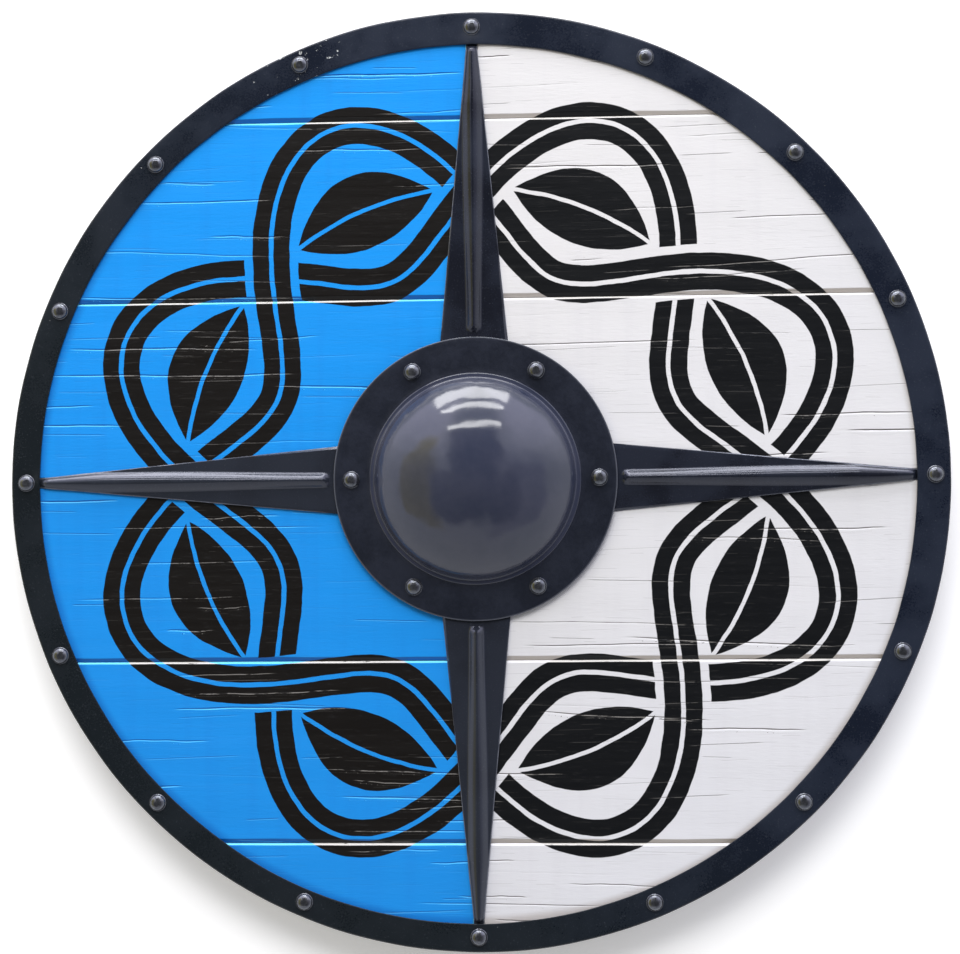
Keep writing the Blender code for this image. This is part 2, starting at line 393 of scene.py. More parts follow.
white_warm = (0.662, 0.652, 0.656)
white_cool = (0.648, 0.650, 0.678)
blue_high = (0.008, 0.262, 0.74)
blue_low = (0.012, 0.240, 0.67)
black_on_blue = (0.0058, 0.0048, 0.0042)
black_on_white = (0.0040, 0.0046, 0.0056)
pale_wood = (0.50, 0.38, 0.25)
brown_wood = (0.27, 0.155, 0.080)
# Painted shade, partly with grime, and painted highlights, for the cracks, the seam grooves and the rim's
# inner edge
grime_and_shade = (0.30, 0.25, 0.21)
blue_painted_shade = (0.005, 0.10, 0.42)
blue_crack_highlight = (0.11, 0.56, 0.95)
blue_seam_highlight = (0.18, 0.70, 0.98)
blue_seam_shade = (0.003, 0.115, 0.42)
white_seam_shade = (0.47, 0.43, 0.40)
white_crack_shade = (0.15, 0.14, 0.14)
white_highlight = (0.80, 0.80, 0.81)
crack_highlight_on_black = (0.20, 0.19, 0.175)
seam_highlight_on_black = (0.66, 0.64, 0.61)
white_streak = (0.52, 0.49, 0.47)
white_shade = (0.56, 0.55, 0.58)
blue_shade = (0.012, 0.19, 0.60)
blue_streak = (0.030, 0.34, 0.85)
worn_black = (0.024, 0.024, 0.025)
iron_speck = (0.060, 0.066, 0.078)
rim_metal = (0.46, 0.48, 0.48)
arm_metal = (0.16, 0.17, 0.20)
flange_dark = (0.006, 0.008, 0.015)
flange_light = (0.014, 0.017, 0.028)
flange_edge = (0.13, 0.14, 0.17)
dome_dark = (0.026, 0.031, 0.054)
dome_light = (0.036, 0.040, 0.064)
rivet_dark = (0.100, 0.106, 0.122)
rivet_light = (0.148, 0.155, 0.172)


def wood_colour(finish, shift=(0.0, 0.0, 0.0)):
    """Bare wood with its grain along X."""
    grain = finish.mottle(0.004, (0.06, 1.0, 1.0), 5.0, 0.62, shift)
    fibre = finish.mottle(0.0011, (0.03, 1.0, 1.0), 2.0, 0.5, shift)
    tone = (grain * 0.7 + fibre * 0.3).rise(0.34, 0.66)
    return finish.blend(tone, brown_wood, pale_wood), grain * 0.6 + fibre * 0.4


def ring_plait(finish):
    """The mask of the black paint: two strands that cross in a ring, with a leaf in each eye."""
    turns = 4
    middle = 0.190
    swing = 0.054
    roundness = 0.06
    strand = 0.0122
    gap = 0.0055
    inlay = 0.0015
    leaf_half_width = 0.0245
    leaf_half_length = 0.049
    vein = 0.0013

    waver = finish.mottle(0.012, detail=2.0) - 0.5
    waver_across = finish.mottle(0.015, detail=2.0, shift=(3.0, 5.0, 0.0)) - 0.5
    x = finish.x + waver * 0.0016
    y = finish.y + waver_across * 0.0016
    radius = (x * x + y * y).math("SQRT")
    angle = y.math("ARCTAN2", x) * turns + math.pi / 2
    outward = angle.math("COSINE")
    across = angle.math("SINE")

    def course(turn, side):
        """How far out a strand runs at this turn, and how fast it moves outwards there."""
        out = turn.math("COSINE") * side
        along = turn.math("SINE") * side
        line = out * swing + (out * out * 2.0 - 1.0) * (swing * roundness) + middle
        return line, (along + along * out * (4 * roundness)) * (-swing * turns)

    def off_strand(side):
        """The distance to a strand, from the tangent at its nearest point."""
        line, slant = course(angle, side)
        step = (radius - line) * slant / (line * line + slant * slant)
        line, slant = course(angle + step * turns, side)
        out = (radius * step.math("COSINE") - line) * line + radius * step.math("SINE") * slant
        return (out / (line * line + slant * slant).math("SQRT")).size()

    first = off_strand(1.0)
    second = off_strand(-1.0)
    first_under = across.inside(0.0, 0.001).both(second.inside(strand + gap))
    second_under = across.rise(-0.001, 0.001).both(first.inside(strand + gap))
    strands = first.inside(strand).without(first_under).either(second.inside(strand).without(second_under))
    lines = first.inside(inlay).without(first_under).either(second.inside(inlay).without(second_under))
    along = outward.size().math("ARCCOSINE") * radius / (turns * leaf_half_length)
    off = (radius - middle).size()
    leaf = (off + along * along * leaf_half_width).inside(leaf_half_width)
    leaves = leaf.both(outward.size().rise(0.28, 0.30)).without(off.inside(vein))
    return strands.without(lines).either(leaves)


def crack_shade_and_highlight(off, half_width, strength):
    """The painted shade along the upper edge of a line and the painted highlight along its lower edge, from
    the distance above its middle.
    """
    upper = (off / half_width - 1.0).size().rise(1.15, 0.65).both(strength)
    lower = (off / half_width + 1.0).size().rise(1.15, 0.65).both(strength)
    return upper, lower


def fine_cracks(finish, length, spacing, half_width, share, seed):
    """Cracks too thin to cut into the mesh, drawn only as painted shade and painted highlight: at most one in
    each cell of a grid along the grain.
    """
    row = (finish.y / spacing).math("FLOOR")
    shift = finish.chance(row, 0.0, seed)[0]
    place = finish.x / length + shift * 9.7
    column = place.math("FLOOR")
    level, reach, strength = finish.chance(column, row, seed)
    along = place - column - 0.5
    tilt = (finish.chance(column, row, seed + 0.5)[0] - 0.45) * (0.09 * length)
    off = finish.y - (row + level * 0.5 + 0.25) * spacing - along * tilt
    ends = (along.size() / (reach * 0.34 + 0.12)).rise(1.0, 0.7)
    return crack_shade_and_highlight(off, half_width, ends * strength.rise(1 - share, 1.0, 0.0, 1.0))


def painted_wood():
    finish = Finish("painted_wood", Specular_IOR_Level=0.28)
    black = ring_plait(finish)
    cloud = finish.mottle(0.16, detail=2.0)
    streak = finish.mottle(0.0035, (0.035, 1.0, 1.0), 4.0, 0.6)
    upright = finish.mottle(0.010, (1.0, 0.05, 1.0), 2.0)
    scuff = finish.mottle(0.0016, (0.16, 1.0, 1.0), 3.0, 0.7, (0.0, 0.4, 0.0))
    right_half = (finish.x + (finish.mottle(0.01, detail=1.0) - 0.5) * 0.001).rise(-0.0003, 0.0003)

    warm = (finish.y * 1.6 - finish.x * 1.1 + cloud * 0.5).rise(-0.35, 0.55)
    white = finish.blend(warm, white_cool, white_warm)
    white = finish.blend(streak.rise(0.52, 0.80, 0.0, 0.05), white, white_streak)
    white = finish.blend(upright.rise(0.45, 0.75, 0.0, 0.16), white, white_shade)
    blue = finish.blend((finish.y + cloud * 0.12).rise(-0.26, 0.34), blue_low, blue_high)
    blue = finish.blend(upright.rise(0.45, 0.75, 0.0, 0.20), blue, blue_shade)
    blue = finish.blend(streak.rise(0.55, 0.80, 0.0, 0.10), blue, blue_streak)
    ground = finish.blend(right_half, blue, white)

    # The cracks' upper edges get painted shade and their lower edges a painted highlight, as if lit from the
    # top.
    off_crack = finish.attribute("off_crack") * millimetre
    torn = finish.attribute("torn")
    dark, light = crack_shade_and_highlight(off_crack, torn * 0.00020 + 0.00020, torn.rise(0.03, 0.35))
    short_crack_shade, short_crack_highlight = fine_cracks(finish, 0.085, 0.0125, 0.00022, 0.60, 1.0)
    tiny_crack_shade, tiny_crack_highlight = fine_cracks(finish, 0.030, 0.0040, 0.00017, 0.55, 2.0)
    dark = dark.either(short_crack_shade * 0.80).either(tiny_crack_shade * 0.30)
    light = (light * 0.75).either(short_crack_highlight * 0.45).either(tiny_crack_highlight * 0.12)
    # The seam grooves' upper walls get painted shade and their lower lips a painted highlight.
    upper_wall = groove_upper_wall / millimetre
    lower_wall = groove_lower_wall / millimetre
    seam_shade = finish.attribute("above_seam").rise(upper_wall, upper_wall * 0.92)
    seam_highlight = finish.attribute("below_seam").rise(lower_wall * 0.9, lower_wall * 0.7)

    radius = (finish.x * finish.x + finish.y * finish.y).math("SQRT")
    # Painted shade, with some grime, along the rim's inner edge: the face darkens and browns towards the rim.
    rim_shade_and_grime = (radius + (cloud - 0.5) * 0.006).rise(0.2800, 0.2860, 0.0, 0.5)
    # Painted shade on the upper walls of the seam grooves.
    ground = finish.blend(seam_shade, ground, finish.blend(right_half, blue_seam_shade, white_seam_shade))
    # The painted shade and grime by the rim.
    ground = finish.blend(rim_shade_and_grime, ground, finish.blend(right_half, blue_painted_shade, grime_and_shade))
    # Painted shade along the upper edges of the cracks.
    ground = finish.blend(dark, ground, finish.blend(right_half, blue_painted_shade, white_crack_shade))
    # Painted highlight along the lower edges of the cracks, weaker on the white.
    crack_highlight_mask = light.both(right_half.rise(0.0, 1.0, 1.0, 0.25))
    ground = finish.blend(crack_highlight_mask, ground, finish.blend(right_half, blue_crack_highlight, white_highlight))
    # Painted highlight on the lower lips of the seam grooves.
    ground = finish.blend(seam_highlight, ground, finish.blend(right_half, blue_seam_highlight, white_highlight))

    black_tone = finish.blend(right_half, black_on_blue, black_on_white)
    black_tone = finish.blend(scuff.rise(0.56, 0.74, 0.0, 0.4), black_tone, worn_black)
    # Painted highlight along the cracks' lower edges over the black, in scuffed patches.
    black_tone = finish.blend(light.both(scuff.rise(0.42, 0.55)), black_tone, crack_highlight_on_black)
    # Painted highlight on the seam grooves' lower lips over the black, in scuffed patches.
    black_tone = finish.blend(seam_highlight.both(scuff.rise(0.28, 0.40)), black_tone, seam_highlight_on_black)
    paint = finish.blend(black, ground, black_tone)

    wood, _ = wood_colour(finish)
    plank = (finish.y / plank_width).math("FLOOR")
    shade = finish.chance(plank, 0.0, 3.0)[2]
    wood = finish.blend(shade * 0.45, wood, brown_wood)
    paint_end = board_front - painted_depth
    bare = finish.z.rise(paint_end, paint_end - 0.0004)
    finish.colour(finish.blend(bare, paint, wood))
    shine = streak.rise(0.3, 0.7, 0.36, 0.46)
    finish.gloss(shine.either(bare * 0.68))
    finish.relief(streak * 0.3 + scuff * 0.7 - short_crack_shade * 1.4, 0.00014)
    return finish.material


def iron_paint(name, dark, light, left, gloss, roughcast, chips, **settings):
    """Dark paint on iron, a little mottled, with another tone at the left and specks of bare metal."""
    finish = Finish(name, **settings)
    cloud = finish.mottle(0.045, detail=3.0, roughness=0.55)
    speck = finish.mottle(0.0028, detail=3.0, roughness=0.7, shift=(0.0, 0.0, 0.3))
    grain = finish.mottle(0.0011, detail=2.0, roughness=0.7)
    tone = finish.blend((cloud * 0.85 + grain * 0.15).rise(0.38, 0.62), dark, light)
    tone = finish.blend((finish.x + finish.y * 0.7).rise(-0.25, 0.12, 0.75, 0.0), tone, left)
    tone = finish.blend(grain.rise(0.62, 0.74, 0.0, 0.5), tone, iron_speck)
    chip, chip_colour, chip_metal = chips(finish, speck)
    finish.colour(finish.blend(chip, tone, chip_colour))
    finish.metal(chip * chip_metal)
    finish.gloss((cloud * 0.7 + grain * 0.3).rise(0.35, 0.65, gloss[0], gloss[1]))
    finish.relief(speck * 0.3 + grain * 0.2 - chip * 0.25, roughcast)
    return finish.material


def rim_chips(finish, speck):
    """Specks anywhere, and more of them by the rivet at the upper left."""
    worn_place = on_circle(shield_radius - 0.010, math.radians(112.5))
    dx = finish.x - worn_place.x
    dy = finish.y - worn_place.y
    near = (dx * dx + dy * dy).math("SQRT").rise(0.070, 0.006)
    spot = finish.mottle(0.0050, detail=3.0, roughness=0.70, shift=(0.7, 0.2, 0.0))
    chip = (spot + near * 0.105).rise(0.755, 0.775).both(speck.rise(0.36, 0.46))
    return chip, rim_metal, 0.15


def arm_chips(finish, speck):
    """Bare metal along the worn edges."""
    edge = finish.attribute("edge")
    spot = finish.mottle(0.006, detail=4.0, roughness=0.7)
    chip = (edge.rise(0.45, 1.0) * spot.rise(0.30, 0.60, 0.25, 0.75)).either(speck.rise(0.78, 0.82) * 0.6)
    return chip, arm_metal, 0.3


def boss_paint():
    """Clear gloss over dark steel on the dome, and satin paint on the flange."""
    finish = Finish("boss_steel", Specular_IOR_Level=0.62)
    radius = (finish.x * finish.x + finish.y * finish.y).math("SQRT")
    dome = radius.rise(0.0694, 0.0676)
    cloud = finish.mottle(0.03, detail=4.0, roughness=0.6)
    speck = finish.mottle(0.0025, detail=3.0, roughness=0.7)
    patchy = (cloud * 0.7 + speck * 0.3).rise(0.36, 0.64)
    flange_tone = finish.blend(patchy, flange_dark, flange_light)
    dome_tone = finish.blend(cloud.rise(0.35, 0.65), dome_dark, dome_light)
    tone = finish.blend(dome, flange_tone, dome_tone)
    worn_edge = radius.rise(boss_radius - 0.0012, boss_radius - 0.0002, 0.0, 0.55)
    finish.colour(finish.blend(worn_edge, tone, flange_edge))
    finish.gloss(dome.rise(0.0, 1.0, 0.32, 0.10) + (speck - 0.5) * 0.08)
    ripple = finish.mottle(0.030, detail=2.0)
    first = finish.relief(ripple, 0.0007)
    finish.relief(speck.both(dome.rise(1.0, 0.0)), 0.00012, first)
    return finish.material


def rivet_paint():
    finish = Finish("rivet_steel", Metallic=0.85)
    speck = finish.mottle(0.0024, detail=3.0, roughness=0.6)
    finish.colour(finish.blend(speck.rise(0.35, 0.65), rivet_dark, rivet_light))
    finish.gloss(speck.rise(0.35, 0.65, 0.16, 0.26))
    finish.relief(speck, 0.00008)
    return finish.material


def grip_wood():
    finish = Finish("bare_wood", Specular_IOR_Level=0.4)
    wood, fibre = wood_colour(finish, (0.2, 0.7, 0.1))
    finish.colour(wood)
    finish.gloss(fibre.rise(0.3, 0.7, 0.5, 0.68))
    finish.relief(fibre, 0.0003)
    return finish.material


# Holes, cut alike through everything that a rivet or a tongue passes

def rivet_place(node):
    low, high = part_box(node)
    middle = (low + high) / 2
    return Vector((middle.x, middle.y, 0.0)), low.z, high.z


rim_rivet_nodes = [f"rim_rivet_{i:02d}" for i in range(1, 17)]
boss_rivet_nodes = [f"boss_rivet_{i}" for i in range(1, 7)]
arm_turns = {"arm_right": 0.0, "arm_top": 90.0, "arm_left": 180.0, "arm_bottom": 270.0}


def add_shaft(bm, centre, radius, low, high, sides):
    bmesh.ops.create_cone(
        bm,
        cap_ends=True,
        segments=sides,
        radius1=radius,
        radius2=radius,
        depth=high - low,
        matrix=Matrix.Translation((centre.x, centre.y, (low + high) / 2)),
    )


def rivet_hole_cutter(steel):
    bm = bmesh.new()
    for node in rim_rivet_nodes + boss_rivet_nodes:
        add_shaft(bm, rivet_place(node)[0], hole_radius, -grip_depth, dome_top, rivet_hole_sides)
    return mesh_object("rivet_holes", bm, steel, 40)


def board_opening_cutter(wood):
    """The hand hole and the four shallow slots under the tips of the arms."""
    bm = bmesh.new()
    add_shaft(bm, Vector(), hand_hole_radius, board_back - 0.01, board_front + 0.01, hand_hole_sides)
    for turn in arm_turns.values():
        start = lip_radius(math.radians(turn)) - slot_length_before_lip
        length = tongue_radius + fit_gap - start
        width = arm_half_width(start) * 2 + 0.0004
        middle = Vector((start + length / 2, 0.0, board_front))
        size = Matrix.Diagonal((length, width, 2 * tongue_slot_depth, 1.0))
        place = Matrix.Rotation(math.radians(turn), 4, "Z") @ Matrix.Translation(middle) @ size
        bmesh.ops.create_cube(bm, size=1.0, matrix=place)
    return mesh_object("board_openings", bm, wood, 40)


# Planks

class Crack:
    """A long narrow split along the grain, thin at both ends."""

    def __init__(self, start, level, length, tilt, depth, bend):
        self.start = start
        self.level = level
        self.length = length
        self.tilt = tilt
        self.depth = depth
        self.bend = bend

    def beside(self, x):
        """Which points lie along the crack, with some room past its ends."""
        return (x > self.start - crack_end_room) & (x < self.start + self.length + crack_end_room)

    def off_and_taper(self, x, y):
        """How far above the crack each point is, and how open the crack is beside it, from 0 to 1."""
        share = (x - self.start) / self.length
        taper = np.clip(np.minimum(share, 1 - share) * 6, 0, 1)
        taper = taper * (0.8 + 0.2 * np.sin(x * 410 + self.level * 700) * np.sin(x * 173))
        course = self.level + self.tilt * (x - self.start)
        course = course + self.bend * np.sin(share * 7.0 + self.level * 900)
        course = course + self.bend * 0.4 * np.sin(share * 23.0)
        return y - course, taper


def scattered_cracks(dice):
    """Splits of many lengths over the whole board, from its bottom to its top."""
    cracks = []
    level = -board_cut
    while level < board_cut:
        level += dice.uniform(0.0042, 0.0085)
        half_chord = math.sqrt(max(board_radius**2 - level**2, 0.001))
        length = dice.choice((0.030, 0.050, 0.075, 0.10, 0.13, 0.16)) * dice.uniform(0.7, 1.2)
        start = dice.uniform(-half_chord - length * 0.4, half_chord - length * 0.6)
        slope = math.copysign(0.028, level) if start > 0 else 0.0
        cracks.append(
            Crack(
                start=start,
                level=level,
                length=length,
                tilt=dice.gauss(slope, 0.022),
                depth=dice.uniform(0.15, 1.0) ** 1.5 * deepest_crack,
                bend=dice.uniform(0.0001, 0.0005),
            )
        )
    return cracks


# The splits that stand out, by start, level, length, tilt, depth and bend
notable_cracks = [
    Crack(0.240, 0.0285, 0.052, 0.004, 0.0008, 0.0001),
    Crack(0.196, 0.0390, 0.090, 0.010, 0.0005, 0.0003),
    Crack(-0.290, -0.0125, 0.055, 0.010, 0.0007, 0.0002),
    Crack(0.180, -0.0345, 0.085, 0.005, 0.0005, 0.0004),
    Crack(-0.270, 0.0880, 0.130, -0.012, 0.0005, 0.0004),
    Crack(0.020, 0.2020, 0.110, 0.006, 0.0005, 0.0004),
    Crack(-0.120, 0.2650, 0.115, 0.002, 0.0006, 0.0003),
    Crack(-0.200, -0.1480, 0.120, 0.004, 0.0005, 0.0004),
]


def plank_relief(x, y, low, high, cracks):
    """How far the face is sunk at each point, and the distances that its paint is lined by."""
    wander = 0.0002 * np.sin(x * 37 + low * 50) + 0.00012 * np.sin(x * 131)
    above_seam = np.full_like(x, seam_sight) if low <= -board_cut else y - low - wander
    below_seam = np.full_like(x, seam_sight) if high >= board_cut else high - y - wander * 0.5
    groove = np.maximum(1 - above_seam / groove_upper_wall, 1 - below_seam / groove_lower_wall)
    split = np.zeros_like(x)
    off_crack = np.full_like(x, crack_sight)
    torn = np.zeros_like(x)
    for crack in cracks:
        off, taper = crack.off_and_taper(x, y)
        split = np.maximum(split, crack.depth * taper * np.clip(1 - np.abs(off) / crack_reach, 0, 1))
        nearest = (np.abs(off) < np.abs(off_crack)) & crack.beside(x)
        off_crack[nearest] = off[nearest]
        torn[nearest] = np.minimum(taper * crack.depth / deepest_crack, 1)[nearest]
    swell = 0.00010 * np.sin(x * 31 + y * 55) * np.sin(y * 140 - x * 9)
    swell *= np.clip(np.minimum(y - low, high - y) / 0.01, 0, 1)
    sunk = np.clip(groove, 0, 1) * groove_depth + split + swell + 0.00011
    lines = {"off_crack": off_crack / millimetre, "torn": torn}
    lines["above_seam"] = np.minimum(above_seam, seam_sight) / millimetre
    lines["below_seam"] = np.minimum(below_seam, seam_sight) / millimetre
    return sunk, lines


def make_plank(number, paint, cracks, cutters):
    node = f"plank_{number}"
    corner, far_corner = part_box(node)
    low = max(corner.y, -board_cut)
    high = min(far_corner.y, board_cut)
    rows = round((high - low) / row_spacing)
    bm = bmesh.new()
    bmesh.ops.create_grid(bm, x_segments=plank_columns, y_segments=rows, size=0.5)
    share = np.array([vert.co.x for vert in bm.verts])
    y = low + (np.array([vert.co.y for vert in bm.verts]) + 0.5) * (high - low)
    x = 2 * share * np.sqrt(board_radius**2 - y**2)
    near = [crack for crack in cracks if low - 0.01 < crack.level < high + 0.01]
    sunk, lines = plank_relief(x, y, low, high, near)
    for name in lines:
        bm.verts.layers.float.new(name)
    layers = {name: bm.verts.layers.float[name] for name in lines}
    for index, vert in enumerate(bm.verts):
        vert.co = (x[index], y[index], board_front - sunk[index])
        for name, layer in layers.items():
            vert[layer] = lines[name][index]
    for level, inset in ((board_back + back_bevel, 0.0), (board_back, back_bevel)):
        sides = bmesh.ops.extrude_edge_only(bm, edges=[edge for edge in bm.edges if edge.is_boundary])["geom"]
        for item in sides:
            if isinstance(item, bmesh.types.BMVert):
                item.co.y = min(max(item.co.y, low + inset), high - inset)
                item.co.z = level
                item[layers["torn"]] = 0.0
    bmesh.ops.holes_fill(bm, edges=[edge for edge in bm.edges if edge.is_boundary], sides=0)
    bmesh.ops.recalc_face_normals(bm, faces=bm.faces)
    return piece(f"painted_plank_{number}", bm, paint, [node], 35, cutters)


# Rim

def rim_profile():
    """The folded band, from the inner edge of its front lap round to that of its back lap."""
    inner = shield_radius - rim_width
    wall = shield_radius - rim_thickness
    outside = arc((inner + rim_edge, rim_front - rim_edge), rim_edge, 180, 90, 4)
    lap = [(inner + rim_width * share, rim_front) for share in (0.08, 0.16, 0.26, 0.38, 0.5, 0.62, 0.74)]
    outside += lap
    outside += arc((shield_radius - rim_bend, rim_front - rim_bend), rim_bend, 90, 0, 8)
    outside += arc((shield_radius - rim_bend, rim_back + rim_bend), rim_bend, 0, -90, 8)
    outside += [(radius, rim_back) for radius, _ in reversed(lap[::2])]
    outside += arc((inner + rim_edge, rim_back + rim_edge), rim_edge, 270, 180, 4)
    crease = rim_bend - rim_thickness
    inside = [(inner, rim_back + rim_thickness)]
    inside += arc((wall - crease, rim_back + rim_thickness + crease), crease, 270, 360, 4)
    inside += arc((wall - crease, rim_front - rim_thickness - crease), crease, 0, 90, 4)
    inside += [(inner, rim_front - rim_thickness)]
    return outside + inside


def lip_wander(angle):
    """How far the front lap reaches in past its usual width, at this angle round the shield."""
    wander = rim_width_swing * math.cos(angle - rim_widest_way)
    return wander + 0.0006 * noise.noise(on_circle(3.5, angle)) + 0.0002 * noise.noise(on_circle(14.0, angle))


def lip_radius(angle):
    return shield_radius - rim_width - lip_wander(angle)


def hammered_rim(point):
    """The band by hand: its front lap's edge wanders, its face is uneven, its lip lifts over the arms."""
    radius = math.hypot(point.x, point.y)
    angle = math.atan2(point.y, point.x)
    inner = shield_radius - rim_width
    front = smoothstep(rim_front - 0.004, rim_front - 0.0013, point.z)
    free = smoothstep(shield_radius - rim_bend, inner, radius)
    radius -= lip_wander(angle) * free * front
    dent = noise.noise(Vector((point.x, point.y, point.z)) * 28) * 0.00035
    dent += noise.noise(Vector((point.x, point.y, point.z)) * 75) * 0.00010
    lip = smoothstep(inner + 0.008, inner + 0.001, radius)
    quarter = (angle + math.pi / 4) % (math.pi / 2) - math.pi / 4
    lift = lip_lift * lip * math.exp(-((quarter * inner / 0.0055) ** 2)) * front
    height = point.z + dent * front * free * 0.6 + lift
    return on_circle(radius + dent * 0.8 * (1 - free), angle, height)


def make_rim(paint, cutters):
    bm = turned(rim_profile(), rim_steps)
    for vert in bm.verts:
        vert.co = hammered_rim(vert.co)
    return piece("iron_rim", bm, paint, ["rim"], 45, cutters)


# Boss

def boss_profile():
    """The half outline of the boss: a wide cap, a tighter shoulder, a base ring and a flat flange."""
    turn = math.radians(cap_end)
    foot = math.radians(shoulder_end)
    cap_height = dome_top - flange_front - base_ring_height
    out = math.cos(foot) - math.cos(turn)
    down = math.sin(turn) - math.sin(foot)
    share = math.cos(turn) * down - out * (1 - math.sin(turn))
    cap_radius = (dome_radius * down - out * cap_height) / share
    shoulder_radius = (math.cos(turn) * cap_height - (1 - math.sin(turn)) * dome_radius) / share
    centre = (0.0, dome_top - cap_radius)
    reach = cap_radius - shoulder_radius
    shoulder = (reach * math.cos(turn), centre[1] + reach * math.sin(turn))
    ring_radius = dome_radius + base_ring_width
    step = flange_front + base_ring_height
    edge = 0.0004
    flange_width = boss_radius - ring_radius
    profile = arc(centre, cap_radius, 90, cap_end, 48)
    profile += arc(shoulder, shoulder_radius, cap_end, shoulder_end, 14)[1:-1]
    profile += [(dome_radius + 0.0002, step + 0.0003), (dome_radius + 0.0009, step)]
    profile += arc((ring_radius - base_ring_height, step - base_ring_height), base_ring_height, 90, 5, 6)
    profile += [(ring_radius + 0.0002, flange_front + 0.0001), (ring_radius + 0.0007, flange_front)]
    profile += [(ring_radius + flange_width * part, flange_front) for part in (0.15, 0.4, 0.65, 0.85)]
    profile += arc((boss_radius - edge, flange_front - edge), edge, 90, 0, 4)
    profile += [(boss_radius, flange_base)]
    profile += [(shoulder[0] + shoulder_radius - boss_thickness, flange_base)]
    profile += arc(shoulder, shoulder_radius - boss_thickness, 0, cap_end, 10)
    profile += arc(centre, cap_radius - boss_thickness, cap_end, 90, 20)[1:]
    return [(max(radius, 0.0), height) for radius, height in profile]


def hammered_boss(point):
    radius = math.hypot(point.x, point.y)
    dome = smoothstep(dome_radius, dome_radius - 0.02, radius) * (1 - 0.6 * smoothstep(0.02, 0.0, radius))
    dent = noise.noise(point * 24 + Vector((4.0, 1.0, 2.0))) * 0.00028
    flat = smoothstep(dome_radius + 0.004, dome_radius + 0.008, radius)
    uneven = noise.noise(point * 40) * 0.00012
    return point + Vector((0.0, 0.0, -abs(dent) * dome - abs(uneven) * flat))


def make_boss(paint, cutters):
    bm = turned(boss_profile(), boss_steps)
    for vert in bm.verts:
        vert.co = hammered_boss(vert.co)
    return piece("iron_boss", bm, paint, ["boss"], 40, cutters)


# Arms

def arm_half_width(radius):
    share = (radius - boss_radius) / (arm_taper_end - boss_radius)
    return (arm_root_width + (arm_tip_width - arm_root_width) * share) / 2


def ridge(share, crest):
    """The rib's cross-section: sides that steepen outwards from a round crest of this half width."""
    straight = (math.hypot(share, crest) - crest) / (math.hypot(1.0, crest) - crest)
    fillet = 0.06
    height = 1 - 0.5 * straight - 0.5 * share * share
    return (height + math.hypot(height, fillet)) / 2


def arm_point(along, around, lip):
    """One point of an arm along +X: a sheet whose middle is pressed up into a rib, dipping under the lip."""
    spacing = arm_inner_radius + (tongue_radius - arm_inner_radius) * along
    top = around < 0.5
    across = 1 - around * 4 if top else around * 4 - 3
    edge = 0.00045
    half_width = arm_half_width(spacing)
    waver = 0.00025 * noise.noise(Vector((spacing * 45, 2.0 * (across > 0), 0.0)))
    half_width += waver * smoothstep(0.1, 0.15, spacing)
    wide = smoothstep(rib_start, rib_full_at, spacing)
    rib = (rib_root_width + (rib_full_width - rib_root_width) * wide) / 2
    rib = min(rib, half_width - 0.0006)
    start = smoothstep(rib_start, rib_start + rib_start_length, spacing)
    reach = min(half_width - edge, rib * 1.6)
    rib_rows = 0.62
    if abs(across) <= rib_rows:
        y = reach * across / rib_rows
    else:
        beyond = (half_width - reach) * (abs(across) - rib_rows) / (1 - rib_rows)
        y = math.copysign(reach + beyond, across)
    spike = min(1.0, half_width / (rib_full_width / 2 + 0.0006))
    down = smoothstep(lip - 0.0004 - ramp_length, lip - 0.0004, spacing)
    height = rib_height * start * spike * math.sqrt(1 - down)
    base = arm_base - tongue_drop * down
    from_edge = half_width - abs(y)
    crest = 0.08 + 0.30 * smoothstep(0.15, 0.24, spacing)
    if top:
        bevel = max(edge - from_edge, 0.0)
        z = base + arm_thickness + height * ridge(abs(y) / rib, crest) - bevel
        z += 0.00004 * noise.noise(Vector((spacing * 45, y * 70, 0.0)))
    else:
        z = base + height * ridge(abs(y) / (rib - arm_thickness / 2), crest)
        z = min(z, base + height)
    return Vector((spacing, y, z))


def make_arm(name, turn, paint, cutters):
    lip = lip_radius(math.radians(turn))
    bm = wrapped(arm_steps, arm_steps_around, lambda along, around: arm_point(along, around, lip))
    layer = bm.verts.layers.float.new("edge")
    for vert in bm.verts:
        from_edge = arm_half_width(vert.co.x) - abs(vert.co.y)
        vert[layer] = smoothstep(0.0011, 0.0003, from_edge) * smoothstep(0.09, 0.1, vert.co.x)
    about_z = Matrix.Rotation(math.radians(turn), 3, "Z")
    bmesh.ops.rotate(bm, verts=bm.verts, cent=(0.0, 0.0, 0.0), matrix=about_z)
    return piece(f"iron_{name}", bm, paint, [name], 40, cutters)


# Rivets

def rivet_profile(low, high):
    """Half the outline of a rivet: a domed head on a thin lip, a shank and a hammered tail."""
    seat = high - head_height
    lip = 0.0005
    head_parts = 16
    tail_parts = 4
    profile = [(0.0, high), (0.0010, high - 0.00005)]
    for i in range(1, head_parts):
        lean = math.radians(10 + 80 * i / head_parts)
        out = head_radius * 0.93 * math.sin(lean)
        profile.append((out, seat + lip + (head_height - lip) * math.cos(lean)))
    profile += [(head_radius * 0.955, seat + lip), (head_radius, seat + lip * 0.6), (head_radius, seat)]
    tail = low + tail_height
    profile += [(shank_radius, seat), (shank_radius, tail), (tail_radius, tail)]
    for i in range(1, tail_parts + 1):
        lean = math.radians(90 - 90 * i / tail_parts)
        out = tail_radius * math.sin(lean) if i < tail_parts else 0.0
        profile.append((out, tail - tail_height * math.cos(lean)))
    return profile


